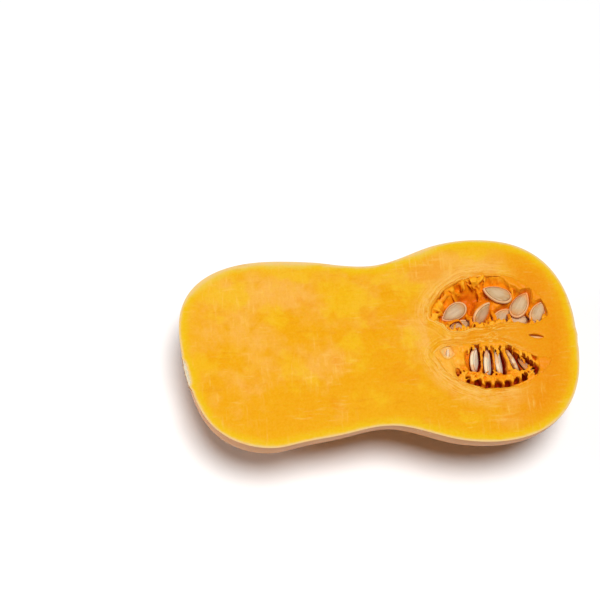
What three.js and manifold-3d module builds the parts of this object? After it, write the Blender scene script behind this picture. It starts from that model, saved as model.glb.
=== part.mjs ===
// Half of a butternut squash, cut lengthways and lying on its rind with the cut face up.
//
// The fruit is one grown solid: tan rind and orange flesh, with a seed hollow in the wide end that a
// wall of flesh divides in two. Each chamber holds a torn bed of pulp, and flat pointed seeds lie or
// stand in that pulp. Millimetres, +Z up, the stem end at -X, the blossom end at +X. The origin is
// the middle of the half's footprint, at the height of the two flat spots that it rests on.

import * as THREE from "three";
import { mergeVertices } from "three/addons/utils/BufferGeometryUtils.js";
import Module from "manifold-3d";

const wasm = await Module();
wasm.setup();

// Driving dimensions.

const CUT_HEIGHT = 56; // from the surface it rests on to the cut face
const CLEARANCE = 0.3; // gap that separate pieces keep

// The whole fruit, before it is cut. Values in a list are at equal steps from stem to blossom end.
const FRUIT = {
  length: 217.2,
  axisShift: [1.12, -0.95], // puts the footprint's middle at the origin
  axisBend: [-8, 0.4, 1.2, 1.2, 0.8, -0.6], // sideways place of the axis, which droops at the neck
  halfWidth: [53.7, 55, 51.7, 47.4, 58, 64.7, 71], // before the rounding of the ends
  depthShare: [1.06, 1.055, 1.03, 1, 0.965, 0.945, 0.94], // depth below the cut over half width
  stemCap: { reach: 54, power: 2.9 },
  blossomCap: { reach: 79, power: 2.45 },
  ribs: 10,
  ribHeight: 0.006, // share of the radius
  around: 52,
  along: 40,
};

const STEM_SCAR = { radius: 8.5, lip: 1.3, depth: 1.8 };
const BLOSSOM_SCAR = { radius: 4, height: 0.6 };

// The seed hollow: a rounded space whose widest level is the cut face.
const HOLLOW = {
  centre: [62.5, 3.8],
  halfLength: 34.3,
  halfWidth: 33.6,
  depth: 25,
  squareness: 2.25, // 2 is an ellipse
};

// The two edges of the flesh wall that divides the hollow, from the neck side to the blossom side.
const DIVIDER = {
  upperEdge: [[22, 17], [33.5, 12], [40, 6.4], [51, 6.4], [63, 8.6], [76, 8.6], [88, 7.6], [102, 14]],
  lowerEdge: [
    [22, -13], [31, -9], [38, -5], [50, -4], [60, -3.4], [70, -4.6], [79, -9.5], [87, -13.5], [102, -17],
  ],
};

// A seed is a flat drop with a raised margin. Length runs to the pointed tip.
const SEED = { length: 16.4, width: 10.2, thickness: 3, point: 0.55, rim: 0.82, rimDip: 0.16 };

// Where each seed lies: x and y of its middle, depth of its middle below the cut face, the direction
// that its tip points in, its lean about its length (90 stands it on edge), how far its tip dips,
// and its size against SEED.
const SEED_PLACES = [
  { x: 69.6, y: 27.2, below: 3.4, heading: 153, lean: 8, dip: 2, size: 1.05 },
  { x: 82.3, y: 20.9, below: 6, heading: 56, lean: -16, dip: -8, size: 1.02 },
  { x: 91, y: 14.8, below: 3.7, heading: 58, lean: 14, dip: -4, size: 0.87 },
  { x: 44, y: 19, below: 6.6, heading: 206, lean: -12, dip: 12, size: 0.98 },
  { x: 60, y: 17.6, below: 6.8, heading: 50, lean: 48, dip: -14, size: 0.92 },
  { x: 71.6, y: 16, below: 10.2, heading: 38, lean: 26, dip: -2, size: 0.86 },
  { x: 47.4, y: 11.6, below: 10.6, heading: 24, lean: 34, dip: -6, size: 0.86 },
  { x: 81.2, y: 12.6, below: 10, heading: 14, lean: 20, dip: 0, size: 0.74 },
  { x: 86.8, y: -0.7, below: 4.8, heading: 169, lean: 80, dip: 0, size: 0.74 },
  { x: 36.4, y: -6.6, below: 6.4, heading: 80, lean: 90, dip: 72, size: 0.78 },
  { x: 51.2, y: -10.6, below: 5.4, heading: 79, lean: 60, dip: 2, size: 0.94 },
  { x: 58.2, y: -13.2, below: 5.6, heading: 84, lean: 66, dip: -2, size: 0.98 },
  { x: 64.4, y: -13.6, below: 5.6, heading: 91, lean: 68, dip: 0, size: 0.98 },
  { x: 72.4, y: -13, below: 6, heading: 108, lean: 78, dip: 2, size: 0.92 },
  { x: 79.6, y: -16.6, below: 5.6, heading: 124, lean: 52, dip: 6, size: 0.8 },
];

// Narrow openings in the cut face over seeds that the flesh would otherwise close in.
const SLITS = [
  { x: 86.9, y: -0.7, heading: 169, length: 12, width: 2.6, depth: 8 },
  { x: 36.2, y: -7.4, heading: 80, length: 11, width: 8, depth: 11 },
];

// The torn beds of pulp. In the upper chamber the bed slopes down from both edges to an open middle,
// and in the lower one it is fuller. Pockets are extra deep: place, reach along and across, depth.
const UPPER_PULP = {
  edgeDrop: 0.9,
  middleDrop: 6.4,
  slopeReach: 3.4,
  cells: [30, 14],
  pockets: [
    { x: 53.6, y: 26.2, reach: [7.6, 6.6], depth: 10 },
    { x: 38, y: 26, reach: [2.8, 4.2], depth: 4 },
    { x: 36, y: 11.5, reach: [4, 3], depth: 5 },
    { x: 47.4, y: 11.6, reach: [4.6, 3.4], depth: 5 },
    { x: 71.4, y: 15.6, reach: [5, 4], depth: 4.5 },
    { x: 80.5, y: 11.6, reach: [4.6, 3], depth: 6.5 },
  ],
};
const LOWER_PULP = {
  drop: 3.1,
  cells: [34, 10],
  wallSpacing: 6.4, // walls of pulp between the standing seeds
  wallRise: 1.4,
  wallStart: 61.4,
  wallMiddle: -12,
  wallReach: 7,
  pitSpacing: 5.5, // the row of pits along the outer rim
  pitDepth: 8,
  pitStart: 56.2,
  pitRow: 0.9, // share of the way from the hollow's middle to its rim
  pitReach: 0.06,
};

const COLOURS = { flesh: 0xf2ab1c, pulp: 0xee8612, seed: 0xe4d6bd };

// Helpers.

// A smooth curve through equally spaced values, for t from 0 to 1.
function along(values, t) {
  const steps = values.length - 1;
  const place = Math.min(Math.floor(t * steps), steps - 1);
  const f = t * steps - place;
  const at = (i) => {
    if (i < 0) return 2 * values[0] - values[1];
    if (i > steps) return 2 * values[steps] - values[steps - 1];
    return values[i];
  };
  const [a, b, c, d] = [at(place - 1), at(place), at(place + 1), at(place + 2)];
  return b + 0.5 * f * (c - a + f * (2 * a - 5 * b + 4 * c - d + f * (3 * (b - c) + d - a)));
}

function solidFrom(geometry) {
  const bare = geometry.clone();
  bare.deleteAttribute("normal");
  bare.deleteAttribute("uv");
  const merged = mergeVertices(bare, 1e-3);
  const mesh = new wasm.Mesh({
    numProp: 3,
    vertProperties: merged.attributes.position.array,
    triVerts: new Uint32Array(merged.index.array),
  });
  return new wasm.Manifold(mesh);
}

function geometryFrom(solid) {
  const mesh = solid.getMesh();
  const geometry = new THREE.BufferGeometry();
  geometry.setAttribute("position", new THREE.BufferAttribute(mesh.vertProperties.slice(), 3));
  geometry.setIndex(new THREE.BufferAttribute(mesh.triVerts.slice(), 1));
  geometry.computeVertexNormals();
  return geometry;
}

// The largest body of a solid, so that a scrap left by cutting is dropped.
function largestBody(solid) {
  return solid.decompose().reduce((best, body) => (body.volume() > best.volume() ? body : best));
}

// Moves each vertex of a sphere grid to place(u, v), u once round and v from pole to pole.
function shapedSphere(columns, rows, place) {
  const geometry = new THREE.SphereGeometry(1, columns, rows);
  const { position } = geometry.attributes;
  for (let i = 0; i < position.count; i += 1) {
    const row = Math.floor(i / (columns + 1));
    const column = i % (columns + 1);
    const point = place((column % columns) / columns, row / rows);
    position.setXYZ(i, point.x, point.y, point.z);
  }
  return geometry;
}

function box(x, y, z, width, depth, height) {
  return solidFrom(new THREE.BoxGeometry(width, depth, height).translate(x, y, z));
}

// The fruit.

// The fruit's axis in the plane of the cut, as a point and the direction across it.
function axisAt(t) {
  const step = 1e-4;
  const y = (share) => along(FRUIT.axisBend, Math.min(Math.max(share, 0), 1));
  const rise = y(t + step) - y(t - step);
  const run = (Math.min(t + step, 1) - Math.max(t - step, 0)) * FRUIT.length;
  const across = new THREE.Vector2(-rise, run).normalize();
  const x = (t - 0.5) * FRUIT.length + FRUIT.axisShift[0];
  return { x, y: y(t) + FRUIT.axisShift[1], across };
}

function roundedEnd(distance, { reach, power }) {
  const left = Math.max(1 - distance / reach, 0);
  return (1 - left ** power) ** (1 / power);
}

function halfWidthAt(t) {
  const fromStem = t * FRUIT.length;
  const ends = roundedEnd(fromStem, FRUIT.stemCap) * roundedEnd(FRUIT.length - fromStem, FRUIT.blossomCap);
  return along(FRUIT.halfWidth, t) * ends;
}

// A point of the rind: t along the axis, and an angle that is 0 at the +Y side of the cut.
function rindPoint(t, angle) {
  const { x, y, across } = axisAt(t);
  const rib = 1 + FRUIT.ribHeight * Math.cos(FRUIT.ribs * angle) * Math.sin(Math.PI * t);
  const radius = halfWidthAt(t) * rib;
  const side = radius * Math.cos(angle);
  const drop = radius * along(FRUIT.depthShare, t) * Math.sin(angle);
  return new THREE.Vector3(x + across.x * side, y + across.y * side, CUT_HEIGHT + drop);
}

function wholeFruit() {
  const geometry = shapedSphere(FRUIT.around, FRUIT.along, (u, v) => {
    const t = 0.5 - 0.5 * Math.cos(Math.PI * v);
    return rindPoint(t, -2 * Math.PI * u);
  });
  return solidFrom(geometry);
}

// The corky ring and shallow dish that the stem leaves when it is broken off.
function stemScar() {
  const { x, y, across } = axisAt(0);
  const turn = Math.atan2(across.y, across.x) - Math.PI / 2;
  const lip = new THREE.TorusGeometry(STEM_SCAR.radius, STEM_SCAR.lip, 8, 30);
  const dish = new THREE.SphereGeometry(1, 24, 12);
  dish.scale(STEM_SCAR.radius - STEM_SCAR.lip / 2, STEM_SCAR.radius - STEM_SCAR.lip / 2, STEM_SCAR.depth);
  const placed = [lip, dish].map((geometry) =>
    solidFrom(geometry.rotateY(Math.PI / 2).rotateZ(turn).translate(x + STEM_SCAR.lip / 2, y, CUT_HEIGHT)),
  );
  return { lip: placed[0], dish: placed[1] };
}

function blossomScar() {
  const { x, y } = axisAt(1);
  const button = new THREE.SphereGeometry(1, 16, 10);
  button.scale(BLOSSOM_SCAR.height, BLOSSOM_SCAR.radius, BLOSSOM_SCAR.radius);
  return solidFrom(button.translate(x, y, CUT_HEIGHT));
}

// The seed hollow.

const flatPoints = (points, shift) => points.map(([x, y]) => new THREE.Vector2(x, y + shift));

function divider(grow) {
  const upper = new THREE.SplineCurve(flatPoints(DIVIDER.upperEdge, grow)).getPoints(28);
  const lower = new THREE.SplineCurve(flatPoints(DIVIDER.lowerEdge, -grow)).getPoints(28);
  const outline = new THREE.Shape([...lower, ...upper.reverse()]);
  const wall = new THREE.ExtrudeGeometry(outline, { depth: 2 * HOLLOW.depth, bevelEnabled: false });
  return solidFrom(wall.translate(0, 0, CUT_HEIGHT - HOLLOW.depth));
}

// The two chambers, taken in all round by `shrink`.
function chambers(shrink) {
  const power = 2 / HOLLOW.squareness;
  const squared = (value) => Math.sign(value) * Math.abs(value) ** power;
  const geometry = shapedSphere(40, 16, (u, v) => {
    const round = Math.sin(Math.PI * v);
    return new THREE.Vector3(
      HOLLOW.centre[0] + (HOLLOW.halfLength - shrink) * round * squared(Math.cos(2 * Math.PI * u)),
      HOLLOW.centre[1] + (HOLLOW.halfWidth - shrink) * round * squared(Math.sin(2 * Math.PI * u)),
      CUT_HEIGHT + (HOLLOW.depth - shrink) * Math.cos(Math.PI * v),
    );
  });
  const parts = solidFrom(geometry).subtract(divider(shrink)).decompose();
  const middle = (solid) => (solid.boundingBox().min[1] + solid.boundingBox().max[1]) / 2;
  const [lower, upper] = parts.sort((a, b) => middle(a) - middle(b));
  return { upper, lower };
}

function slit({ x, y, heading, length, width, depth }) {
  const geometry = new THREE.SphereGeometry(1, 20, 10).scale(length / 2, width / 2, depth);
  return solidFrom(geometry.rotateZ(THREE.MathUtils.degToRad(heading)).translate(x, y, CUT_HEIGHT));
}

// The seeds.

// How thick a seed is at a share of the way from its middle (0) to its edge (1).
function seedThicknessAt(share) {
  const dip = SEED.rimDip * Math.exp(-(((share - SEED.rim) / 0.1) ** 2));
  return Math.sqrt(Math.max(1 - share ** 5, 0)) * (1 - dip);
}

function seedSolid({ x, y, below, heading, lean, dip, size }, grow) {
  const geometry = shapedSphere(16, 8, (u, v) => {
    const turn = 2 * Math.PI * u;
    const share = Math.sin(Math.PI * v);
    const narrow = Math.abs(Math.sin(turn / 2)) ** SEED.point;
    const side = Math.cos(Math.PI * v) >= 0 ? 1 : -1;
    const height = share > 0.999 ? 0 : side * seedThicknessAt(share);
    return new THREE.Vector3(
      ((SEED.length * size) / 2 + grow) * share * Math.cos(turn),
      ((SEED.width * size) / 2 + grow) * share * Math.sin(turn) * narrow * 1.12,
      ((SEED.thickness * size) / 2 + grow) * height,
    );
  });
  geometry.rotateX(THREE.MathUtils.degToRad(lean));
  geometry.rotateY(THREE.MathUtils.degToRad(dip));
  geometry.rotateZ(THREE.MathUtils.degToRad(heading));
  geometry.translate(x, y, CUT_HEIGHT - below);
  return solidFrom(geometry);
}

// The pulp.

const bump = (value, place, width) => Math.exp(-(((value - place) / width) ** 2));

// Share of the way from the hollow's middle to its rim.
function hollowShare(x, y) {
  const [middleX, middleY] = HOLLOW.centre;
  return Math.hypot((x - middleX) / HOLLOW.halfLength, (y - middleY) / HOLLOW.halfWidth);
}

const upperWall = new THREE.SplineCurve(flatPoints(DIVIDER.upperEdge, 0)).getPoints(80);

// How far across the divider's upper edge lies at x.
function upperWallAt(x) {
  const away = (point) => Math.abs(point.x - x);
  return upperWall.reduce((best, point) => (away(point) < away(best) ? point : best)).y;
}

// How far the torn pulp of the upper chamber lies below the cut face.
function upperPulpDrop(x, y) {
  const { edgeDrop, middleDrop, slopeReach, pockets } = UPPER_PULP;
  const fromRim = Math.max(1 - hollowShare(x, y), 0) * HOLLOW.halfLength;
  const inwards = Math.min(fromRim, Math.max(y - upperWallAt(x), 0));
  const slope = 1 - Math.exp(-inwards / slopeReach);
  const lumps = 1.3 * Math.sin(x / 2.3 + y / 5) * Math.cos(y / 3.1 - x / 9);
  const bed = edgeDrop + (middleDrop - edgeDrop + lumps) * slope;
  const deeper = ({ x: px, y: py, reach, depth }) => depth * bump(x, px, reach[0]) * bump(y, py, reach[1]);
  return pockets.reduce((drop, pocket) => drop + deeper(pocket), bed);
}

// The same for the lower chamber, where thin walls stand between the seeds and a row of deep
// pits runs along the outer rim.
function lowerPulpDrop(x, y) {
  const { drop, wallSpacing, wallRise, wallStart, wallMiddle, wallReach } = LOWER_PULP;
  const { pitSpacing, pitDepth, pitStart, pitRow, pitReach } = LOWER_PULP;
  const wave = (place, spacing) => Math.cos((2 * Math.PI * (x - place)) / spacing);
  const row = pitDepth * bump(hollowShare(x, y), pitRow, pitReach);
  const pits = row * Math.max(wave(pitStart, pitSpacing), -0.15);
  const walls = wallRise * wave(wallStart, wallSpacing) * bump(y, wallMiddle, wallReach);
  const lumps = 0.9 * Math.sin(x / 2.1 - y / 3) * Math.cos(y / 2.6);
  return Math.max(drop + pits - walls + lumps, 0.6);
}

// A bed of pulp: a block whose top follows drop(x, y), kept inside its chamber.
function pulpBed(chamber, drop, cells) {
  const { min, max } = chamber.boundingBox();
  const size = [0, 1, 2].map((axis) => max[axis] - min[axis] + 4);
  const geometry = new THREE.BoxGeometry(size[0], size[1], size[2], cells[0], cells[1], 1);
  const floor = min[2] - 2;
  geometry.translate((min[0] + max[0]) / 2, (min[1] + max[1]) / 2, floor + size[2] / 2);
  const { position } = geometry.attributes;
  for (let i = 0; i < position.count; i += 1) {
    if (position.getZ(i) > floor + 1) {
      position.setZ(i, CUT_HEIGHT - drop(position.getX(i), position.getY(i)));
    }
  }
  return solidFrom(geometry).intersect(chamber);
}

// A string of pulp through the given points, five-sided, with its ends sunk in the bed.
function pulpString(points, radius) {
  const places = points.map(([x, y, below]) => new THREE.Vector3(x, y, CUT_HEIGHT - below));
  const path = new THREE.CatmullRomCurve3(places);
  const section = new THREE.Shape(
    Array.from({ length: 5 }, (_, i) => {
      const turn = (2 * Math.PI * i) / 5;
      return new THREE.Vector2(radius * Math.cos(turn), 0.8 * radius * Math.sin(turn));
    }),
  );
  const geometry = new THREE.ExtrudeGeometry(section, { extrudePath: path, steps: 6, bevelEnabled: false });
  return solidFrom(geometry);
}

// Strings of torn pulp: points as x, y and depth below the cut face, then a radius.
const UPPER_STRINGS = [
  { points: [[33, 14, 16], [35, 22, 5], [42, 29, 3], [49, 27, 14]], radius: 1.5 },
  { points: [[40, 33, 10], [43.6, 30, 3.5], [46, 25, 6], [48, 18, 14]], radius: 1.4 },
  { points: [[54, 37, 8], [58.4, 33, 4], [60, 27, 8], [59, 21, 16]], radius: 1.3 },
  { points: [[63, 37, 8], [64, 33, 6], [63, 26, 11], [62, 21, 16]], radius: 1.6 },
  { points: [[77, 31, 8], [78, 27, 2.2], [76, 22, 8], [74, 19, 15]], radius: 1.5 },
  { points: [[36, 10, 14], [39, 11, 4], [46, 13.6, 5.4], [51, 9, 12]], radius: 1.2 },
  { points: [[52, 7, 7], [52.5, 12, 4], [51, 17, 9], [50, 22, 17]], radius: 1.2 },
  { points: [[64, 8, 6], [66, 13, 3.4], [65, 19, 8], [64, 24, 16]], radius: 1.3 },
  { points: [[76, 8, 5], [74.5, 11.6, 3], [75, 16, 8], [77, 22, 16]], radius: 1.2 },
  { points: [[86, 7, 6], [86.6, 11, 3.2], [85, 17, 10], [86, 22, 15]], radius: 1.1 },
];

const LOWER_STRINGS = [
  { points: [[43, -5, 7], [44.5, -9, 2], [44, -15, 3], [47, -21, 8]], radius: 1.4 },
  { points: [[54.6, -4, 6], [54.9, -9, 2.2], [54.6, -16, 3.4], [54, -23, 9]], radius: 1 },
  { points: [[61.6, -4, 6], [61.4, -9, 2.4], [61.4, -16, 3], [61.4, -24, 9]], radius: 0.9 },
  { points: [[67.6, -5, 6], [68, -9, 1.8], [69, -16, 3], [70, -23, 9]], radius: 1.1 },
  { points: [[73, -6, 6], [75.5, -10, 2], [78.4, -15, 4], [75.6, -22, 9]], radius: 1 },
  { points: [[80, -11, 6], [82, -14, 1.6], [85, -17, 2.4], [82, -21, 9]], radius: 1.2 },
  { points: [[34, -10, 7], [37, -13, 1.8], [43, -17, 2.4], [52, -20, 3]], radius: 1.3 },
  { points: [[52, -20, 3], [60, -22.4, 2.4], [68, -22, 2.6], [76, -20, 4]], radius: 1.2 },
];

function pulp(chamber, drop, cells, strings) {
  const bed = pulpBed(chamber, drop, cells);
  const fused = strings.reduce((solid, { points, radius }) => solid.add(pulpString(points, radius)), bed);
  return largestBody(fused.intersect(chamber).subtract(slits).subtract(seedRoom).simplify(0.12));
}

// Assembly.

const hollow = chambers(0);
const pulpRoom = chambers(CLEARANCE);
const together = (solids) => solids.reduce((all, solid) => all.add(solid));
const seedRoom = together(SEED_PLACES.map((place) => seedSolid(place, CLEARANCE)));
const slits = together(SLITS.map(slit));

function halfSquash() {
  const scar = stemScar();
  const fruit = wholeFruit().add(scar.lip).add(blossomScar()).subtract(scar.dish);
  const kept = box(0, 0, CUT_HEIGHT / 2, 2 * FRUIT.length, 2 * FRUIT.length, CUT_HEIGHT);
  const opened = fruit.intersect(kept).subtract(hollow.upper).subtract(hollow.lower).subtract(slits);
  return largestBody(opened.subtract(seedRoom));
}

const materials = {
  flesh: new THREE.MeshStandardMaterial({ color: COLOURS.flesh, roughness: 0.45, metalness: 0 }),
  pulp: new THREE.MeshStandardMaterial({ color: COLOURS.pulp, roughness: 0.35, metalness: 0 }),
  seed: new THREE.MeshStandardMaterial({ color: COLOURS.seed, roughness: 0.5, metalness: 0 }),
};

const squash = new THREE.Group();

function addPiece(name, solid, material) {
  const mesh = new THREE.Mesh(geometryFrom(solid), material);
  mesh.name = name;
  squash.add(mesh);
}

const under = box(0, 0, CUT_HEIGHT / 2, 2 * FRUIT.length, 2 * FRUIT.length, CUT_HEIGHT - 2 * CLEARANCE);
const pulpUpper = pulp(pulpRoom.upper, upperPulpDrop, UPPER_PULP.cells, UPPER_STRINGS);
const pulpLower = pulp(pulpRoom.lower, lowerPulpDrop, LOWER_PULP.cells, LOWER_STRINGS);

addPiece("squash_half", halfSquash(), materials.flesh);
addPiece("pulp_upper_chamber", pulpUpper.intersect(under), materials.pulp);
addPiece("pulp_lower_chamber", pulpLower.intersect(under), materials.pulp);
SEED_PLACES.forEach((place, i) => {
  const name = `seed_${String(i + 1).padStart(2, "0")}`;
  addPiece(name, seedSolid(place, 0), materials.seed);
});

export default squash;
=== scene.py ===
import math

import bmesh
import bpy
import numpy as np
from mathutils import Euler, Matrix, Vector
from mathutils.geometry import delaunay_2d_cdt
from mathutils.kdtree import KDTree


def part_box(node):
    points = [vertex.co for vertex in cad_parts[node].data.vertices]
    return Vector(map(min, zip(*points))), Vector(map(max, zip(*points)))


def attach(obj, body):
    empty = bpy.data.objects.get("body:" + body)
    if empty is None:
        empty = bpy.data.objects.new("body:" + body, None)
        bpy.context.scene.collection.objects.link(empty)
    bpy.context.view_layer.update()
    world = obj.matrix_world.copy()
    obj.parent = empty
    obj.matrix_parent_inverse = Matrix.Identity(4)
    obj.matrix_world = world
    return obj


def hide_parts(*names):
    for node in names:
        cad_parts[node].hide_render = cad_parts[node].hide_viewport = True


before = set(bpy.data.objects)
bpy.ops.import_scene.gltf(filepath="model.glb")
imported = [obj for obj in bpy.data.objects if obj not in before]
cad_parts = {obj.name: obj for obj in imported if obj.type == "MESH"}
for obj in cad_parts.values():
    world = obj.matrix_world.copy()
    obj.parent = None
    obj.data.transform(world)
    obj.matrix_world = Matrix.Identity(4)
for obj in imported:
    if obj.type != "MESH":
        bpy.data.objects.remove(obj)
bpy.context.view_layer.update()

# The fruit: a short, thick, faintly ribbed butternut squash whose axis droops at the neck. It grew
# in one piece, tan skin round orange flesh, and one stroke of a knife halved it lengthways. Its
# weight presses two small flat spots on the rind, under the neck and under the wide end.
MM = 0.001
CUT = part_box("squash_half")[1][2] / MM
LENGTH = 217.2
AXIS_SHIFT = (1.12, -0.95)
AXIS_BEND = (-8, 0.4, 1.2, 1.2, 0.8, -0.6)
HALF_WIDTH = (53.7, 55, 51.7, 47.4, 58, 64.7, 71)
DEPTH_SHARE = (1.06, 1.055, 1.03, 1, 0.965, 0.945, 0.94)
STEM_CAP = (54, 2.9)
BLOSSOM_CAP = (79, 2.45)
RIBS = 10
RIB_HEIGHT = 0.006
SCAR_RADIUS = 8.5
RIND_STATIONS = 210
RIND_COLUMNS = 116
FLAT_SPOT_PRESS = 0.5


def through(values, share):
    """A smooth curve through evenly spaced values, at shares of its length."""
    share = np.clip(share, 0, 1)
    reached = np.array([2 * values[0] - values[1], *values, 2 * values[-1] - values[-2]], float)
    place = share * (len(values) - 1)
    i = np.minimum(np.asarray(place).astype(int), len(values) - 2)
    f = place - i
    a, b, c, d = (reached[i + k] for k in range(4))
    return b + 0.5 * f * (c - a + f * (2 * a - 5 * b + 4 * c - d + f * (3 * (b - c) + d - a)))


def lumps(x, y, size, seed):
    """Smooth random heights from -1 to 1, in lumps of about the given size."""
    tile = 97
    heights = np.random.default_rng(seed).uniform(-1, 1, (tile, tile))
    u, v = np.asarray(x) / size, np.asarray(y) / size
    i, j = np.floor(u).astype(int), np.floor(v).astype(int)
    a, b = u - i, v - j
    a, b = a * a * (3 - 2 * a), b * b * (3 - 2 * b)
    low, high = (
        heights[i % tile, row % tile] * (1 - a) + heights[(i + 1) % tile, row % tile] * a
        for row in (j, j + 1)
    )
    return low * (1 - b) + high * b


def hill(value, place, width):
    return np.exp(-(((value - place) / width) ** 2))


def rounded_end(distance, cap):
    reach, power = cap
    return (1 - np.clip(1 - distance / reach, 0, 1) ** power) ** (1 / power)


def rind_radius(share):
    ends = rounded_end(share * LENGTH, STEM_CAP) * rounded_end((1 - share) * LENGTH, BLOSSOM_CAP)
    return through(HALF_WIDTH, share) * ends


def rind_stations():
    """Shares of the length, crowded near both ends, where the scars are."""
    share = 0.5 - 0.5 * np.cos(np.linspace(0, math.pi, 6000))
    steps = np.hypot(np.diff(share) * LENGTH, np.diff(rind_radius(share)))
    path = np.concatenate([[0], np.cumsum(steps)])
    crowding = 1 + 2.6 * hill(path, 0, 16) + 1.2 * hill(path, path[-1], 12)
    count = np.concatenate([[0], np.cumsum(steps * crowding[1:])])
    return np.interp(np.linspace(0, count[-1], RIND_STATIONS), count, share)


def rind_surface():
    """The skin as a grid of points, from the +Y edge of the cut, under, to the -Y edge."""
    share = rind_stations()[:, None]
    angle = np.linspace(0, math.pi, RIND_COLUMNS)[None, :]
    bend = through(AXIS_BEND, share)
    slope = np.gradient(bend[:, 0], share[:, 0])[:, None] / LENGTH
    steep = np.sqrt(1 + slope**2)
    across = (-slope / steep, 1 / steep)
    ribs = 1 + RIB_HEIGHT * np.cos(RIBS * angle) * np.sin(math.pi * share)
    uneven = 1 + 0.006 * lumps(share * 9 + 3, angle * 2.2 + 5, 1, 11) * np.sin(angle) ** 2
    radius = rind_radius(share) * ribs * uneven
    side = radius * np.cos(angle)
    x = (share - 0.5) * LENGTH + AXIS_SHIFT[0] + across[0] * side
    y = bend + AXIS_SHIFT[1] + across[1] * side
    z = CUT - radius * through(DEPTH_SHARE, share) * np.sin(angle)
    press = FLAT_SPOT_PRESS
    z = np.where(z < -press, 0, np.where(z < press, (z + press) ** 2 / (4 * press), z))
    stem_end = share < 0.5
    corky = lumps(side + 40, z, 1.6, 21)
    lip = (0.75 + 0.3 * corky) * hill(radius, SCAR_RADIUS, 1.5)
    dish = (0.7 + 0.25 * corky) * np.clip(1 - (radius / (SCAR_RADIUS - 0.6)) ** 2, 0, 1) ** 0.7
    x = x + np.where(stem_end, dish - lip, 0)
    button = 0.3 * (1 + 0.4 * corky) * hill(radius, 0, 2.6) - 0.15 * hill(radius, 5, 2)
    x = x + np.where(stem_end, 0, button)
    return np.dstack([x, y, z]), share * np.ones_like(angle), angle * np.ones_like(share), radius


skin, skin_share, skin_angle, skin_radius = rind_surface()

# The seed hollow: two chambers side by side in the wide end, with a wall of flesh between them
# that was cut too. Their edges are torn where strings of pulp grow out of the flesh, and a narrow
# slit in the wall holds one more seed. All places are in millimetres from the frame's origin.
HOLLOW_CENTRE = np.array([62.5, 3.8])
HOLLOW_REACH = np.array([34.3, 33.6])
HOLLOW_DEPTH = 25
HOLLOW_MEAN_REACH = 34
HOLLOW_SQUARENESS = 2.25
WALL_UPPER_EDGE = (
    (22, 17), (33.5, 12), (40, 6.4), (51, 6.4), (63, 8.6), (76, 8.6), (88, 7.6), (102, 14),
)
WALL_LOWER_EDGE = (
    (22, -13), (31, -6.5), (38, -3.2), (50, -4), (60, -3.4), (70, -4.6), (79, -9.5), (87, -13.5),
    (102, -17),
)
UPPER, LOWER = (WALL_UPPER_EDGE, 1), (WALL_LOWER_EDGE, -1)
OUT_OF_REACH = 99
SLIT = {"centre": (86.9, -0.7), "turn": 169, "length": 8.6, "width": 2.3, "depth": 8}


def wall_edge(points, x):
    """How far across the dividing wall's edge lies at x."""
    count = len(points) - 1
    share = np.linspace(0, 1, 40 * count)
    along = through([p[0] for p in points], share)
    return np.interp(x, along, through([p[1] for p in points], share))


def ramp(value, start, width):
    """0 before the start and 1 beyond the width; a negative width runs the other way."""
    return np.clip((value - start) / width, 0, 1)


def pulp_level(x, y):
    """1 where the knife left the pulp level with the cut, 0 where the chambers lie open."""
    upper_wall, lower_wall = wall_edge(WALL_UPPER_EDGE, x), wall_edge(WALL_LOWER_EDGE, x)
    outer = np.interp(x, (70, 76, 80, 84, 88, 92, 97), (39, 31.5, 29, 25.5, 21, 19, 13))
    upper = np.clip((y - outer) / 1.6 + 0.5, 0, 1)
    along_wall = np.clip((y - lower_wall + 2.4) / 1.6, 0, 1) * ramp(x, 76, -3)
    lower = np.maximum(along_wall, np.maximum(ramp(x, 40, -3), ramp(x, 84.4, 1.6)))
    return np.where(y > (upper_wall + lower_wall) / 2, upper, lower)


def evenly(outline, spacing):
    """The same closed outline with its points a set distance apart."""
    closed = np.vstack([outline, outline[:1]])
    path = np.concatenate([[0], np.cumsum(np.hypot(*np.diff(closed, axis=0).T))])
    place = np.linspace(0, path[-1], int(path[-1] / spacing), endpoint=False)
    return np.column_stack([np.interp(place, path, closed[:, k]) for k in (0, 1)])


def outward(outline):
    """Unit normals of a closed outline that runs anticlockwise."""
    along = np.roll(outline, -1, axis=0) - np.roll(outline, 1, axis=0)
    along /= np.linalg.norm(along, axis=1, keepdims=True)
    return np.column_stack([along[:, 1], -along[:, 0]])


def chamber_outline(wall, side):
    """One chamber's edge in the cut face, anticlockwise and slightly torn."""
    turn = np.linspace(0, 2 * math.pi, 1440, endpoint=False)
    power = 2 / HOLLOW_SQUARENESS
    squared = [np.sign(wave) * np.abs(wave) ** power for wave in (np.cos(turn), np.sin(turn))]
    x, y = (HOLLOW_CENTRE[k] + HOLLOW_REACH[k] * squared[k] for k in (0, 1))
    beyond = (y - wall_edge(wall, x)) * side > 0
    first = int(np.flatnonzero(beyond & ~np.roll(beyond, 1))[0])
    arc = np.column_stack([x, y])[(first + np.arange(int(beyond.sum()))) % len(x)]
    back = np.linspace(arc[-1, 0], arc[0, 0], 200)[1:-1]
    outline = evenly(np.vstack([arc, np.column_stack([back, wall_edge(wall, back)])]), 0.6)
    torn = 0.45 * lumps(*outline.T, 4.5, 31) + 0.3 * lumps(*outline.T, 1.7, 32)
    if side > 0:
        torn = torn * (1 + 1.3 * (outline[:, 1] < wall_edge(wall, outline[:, 0]) + 1))
    return outline + outward(outline) * torn[:, None]


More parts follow.
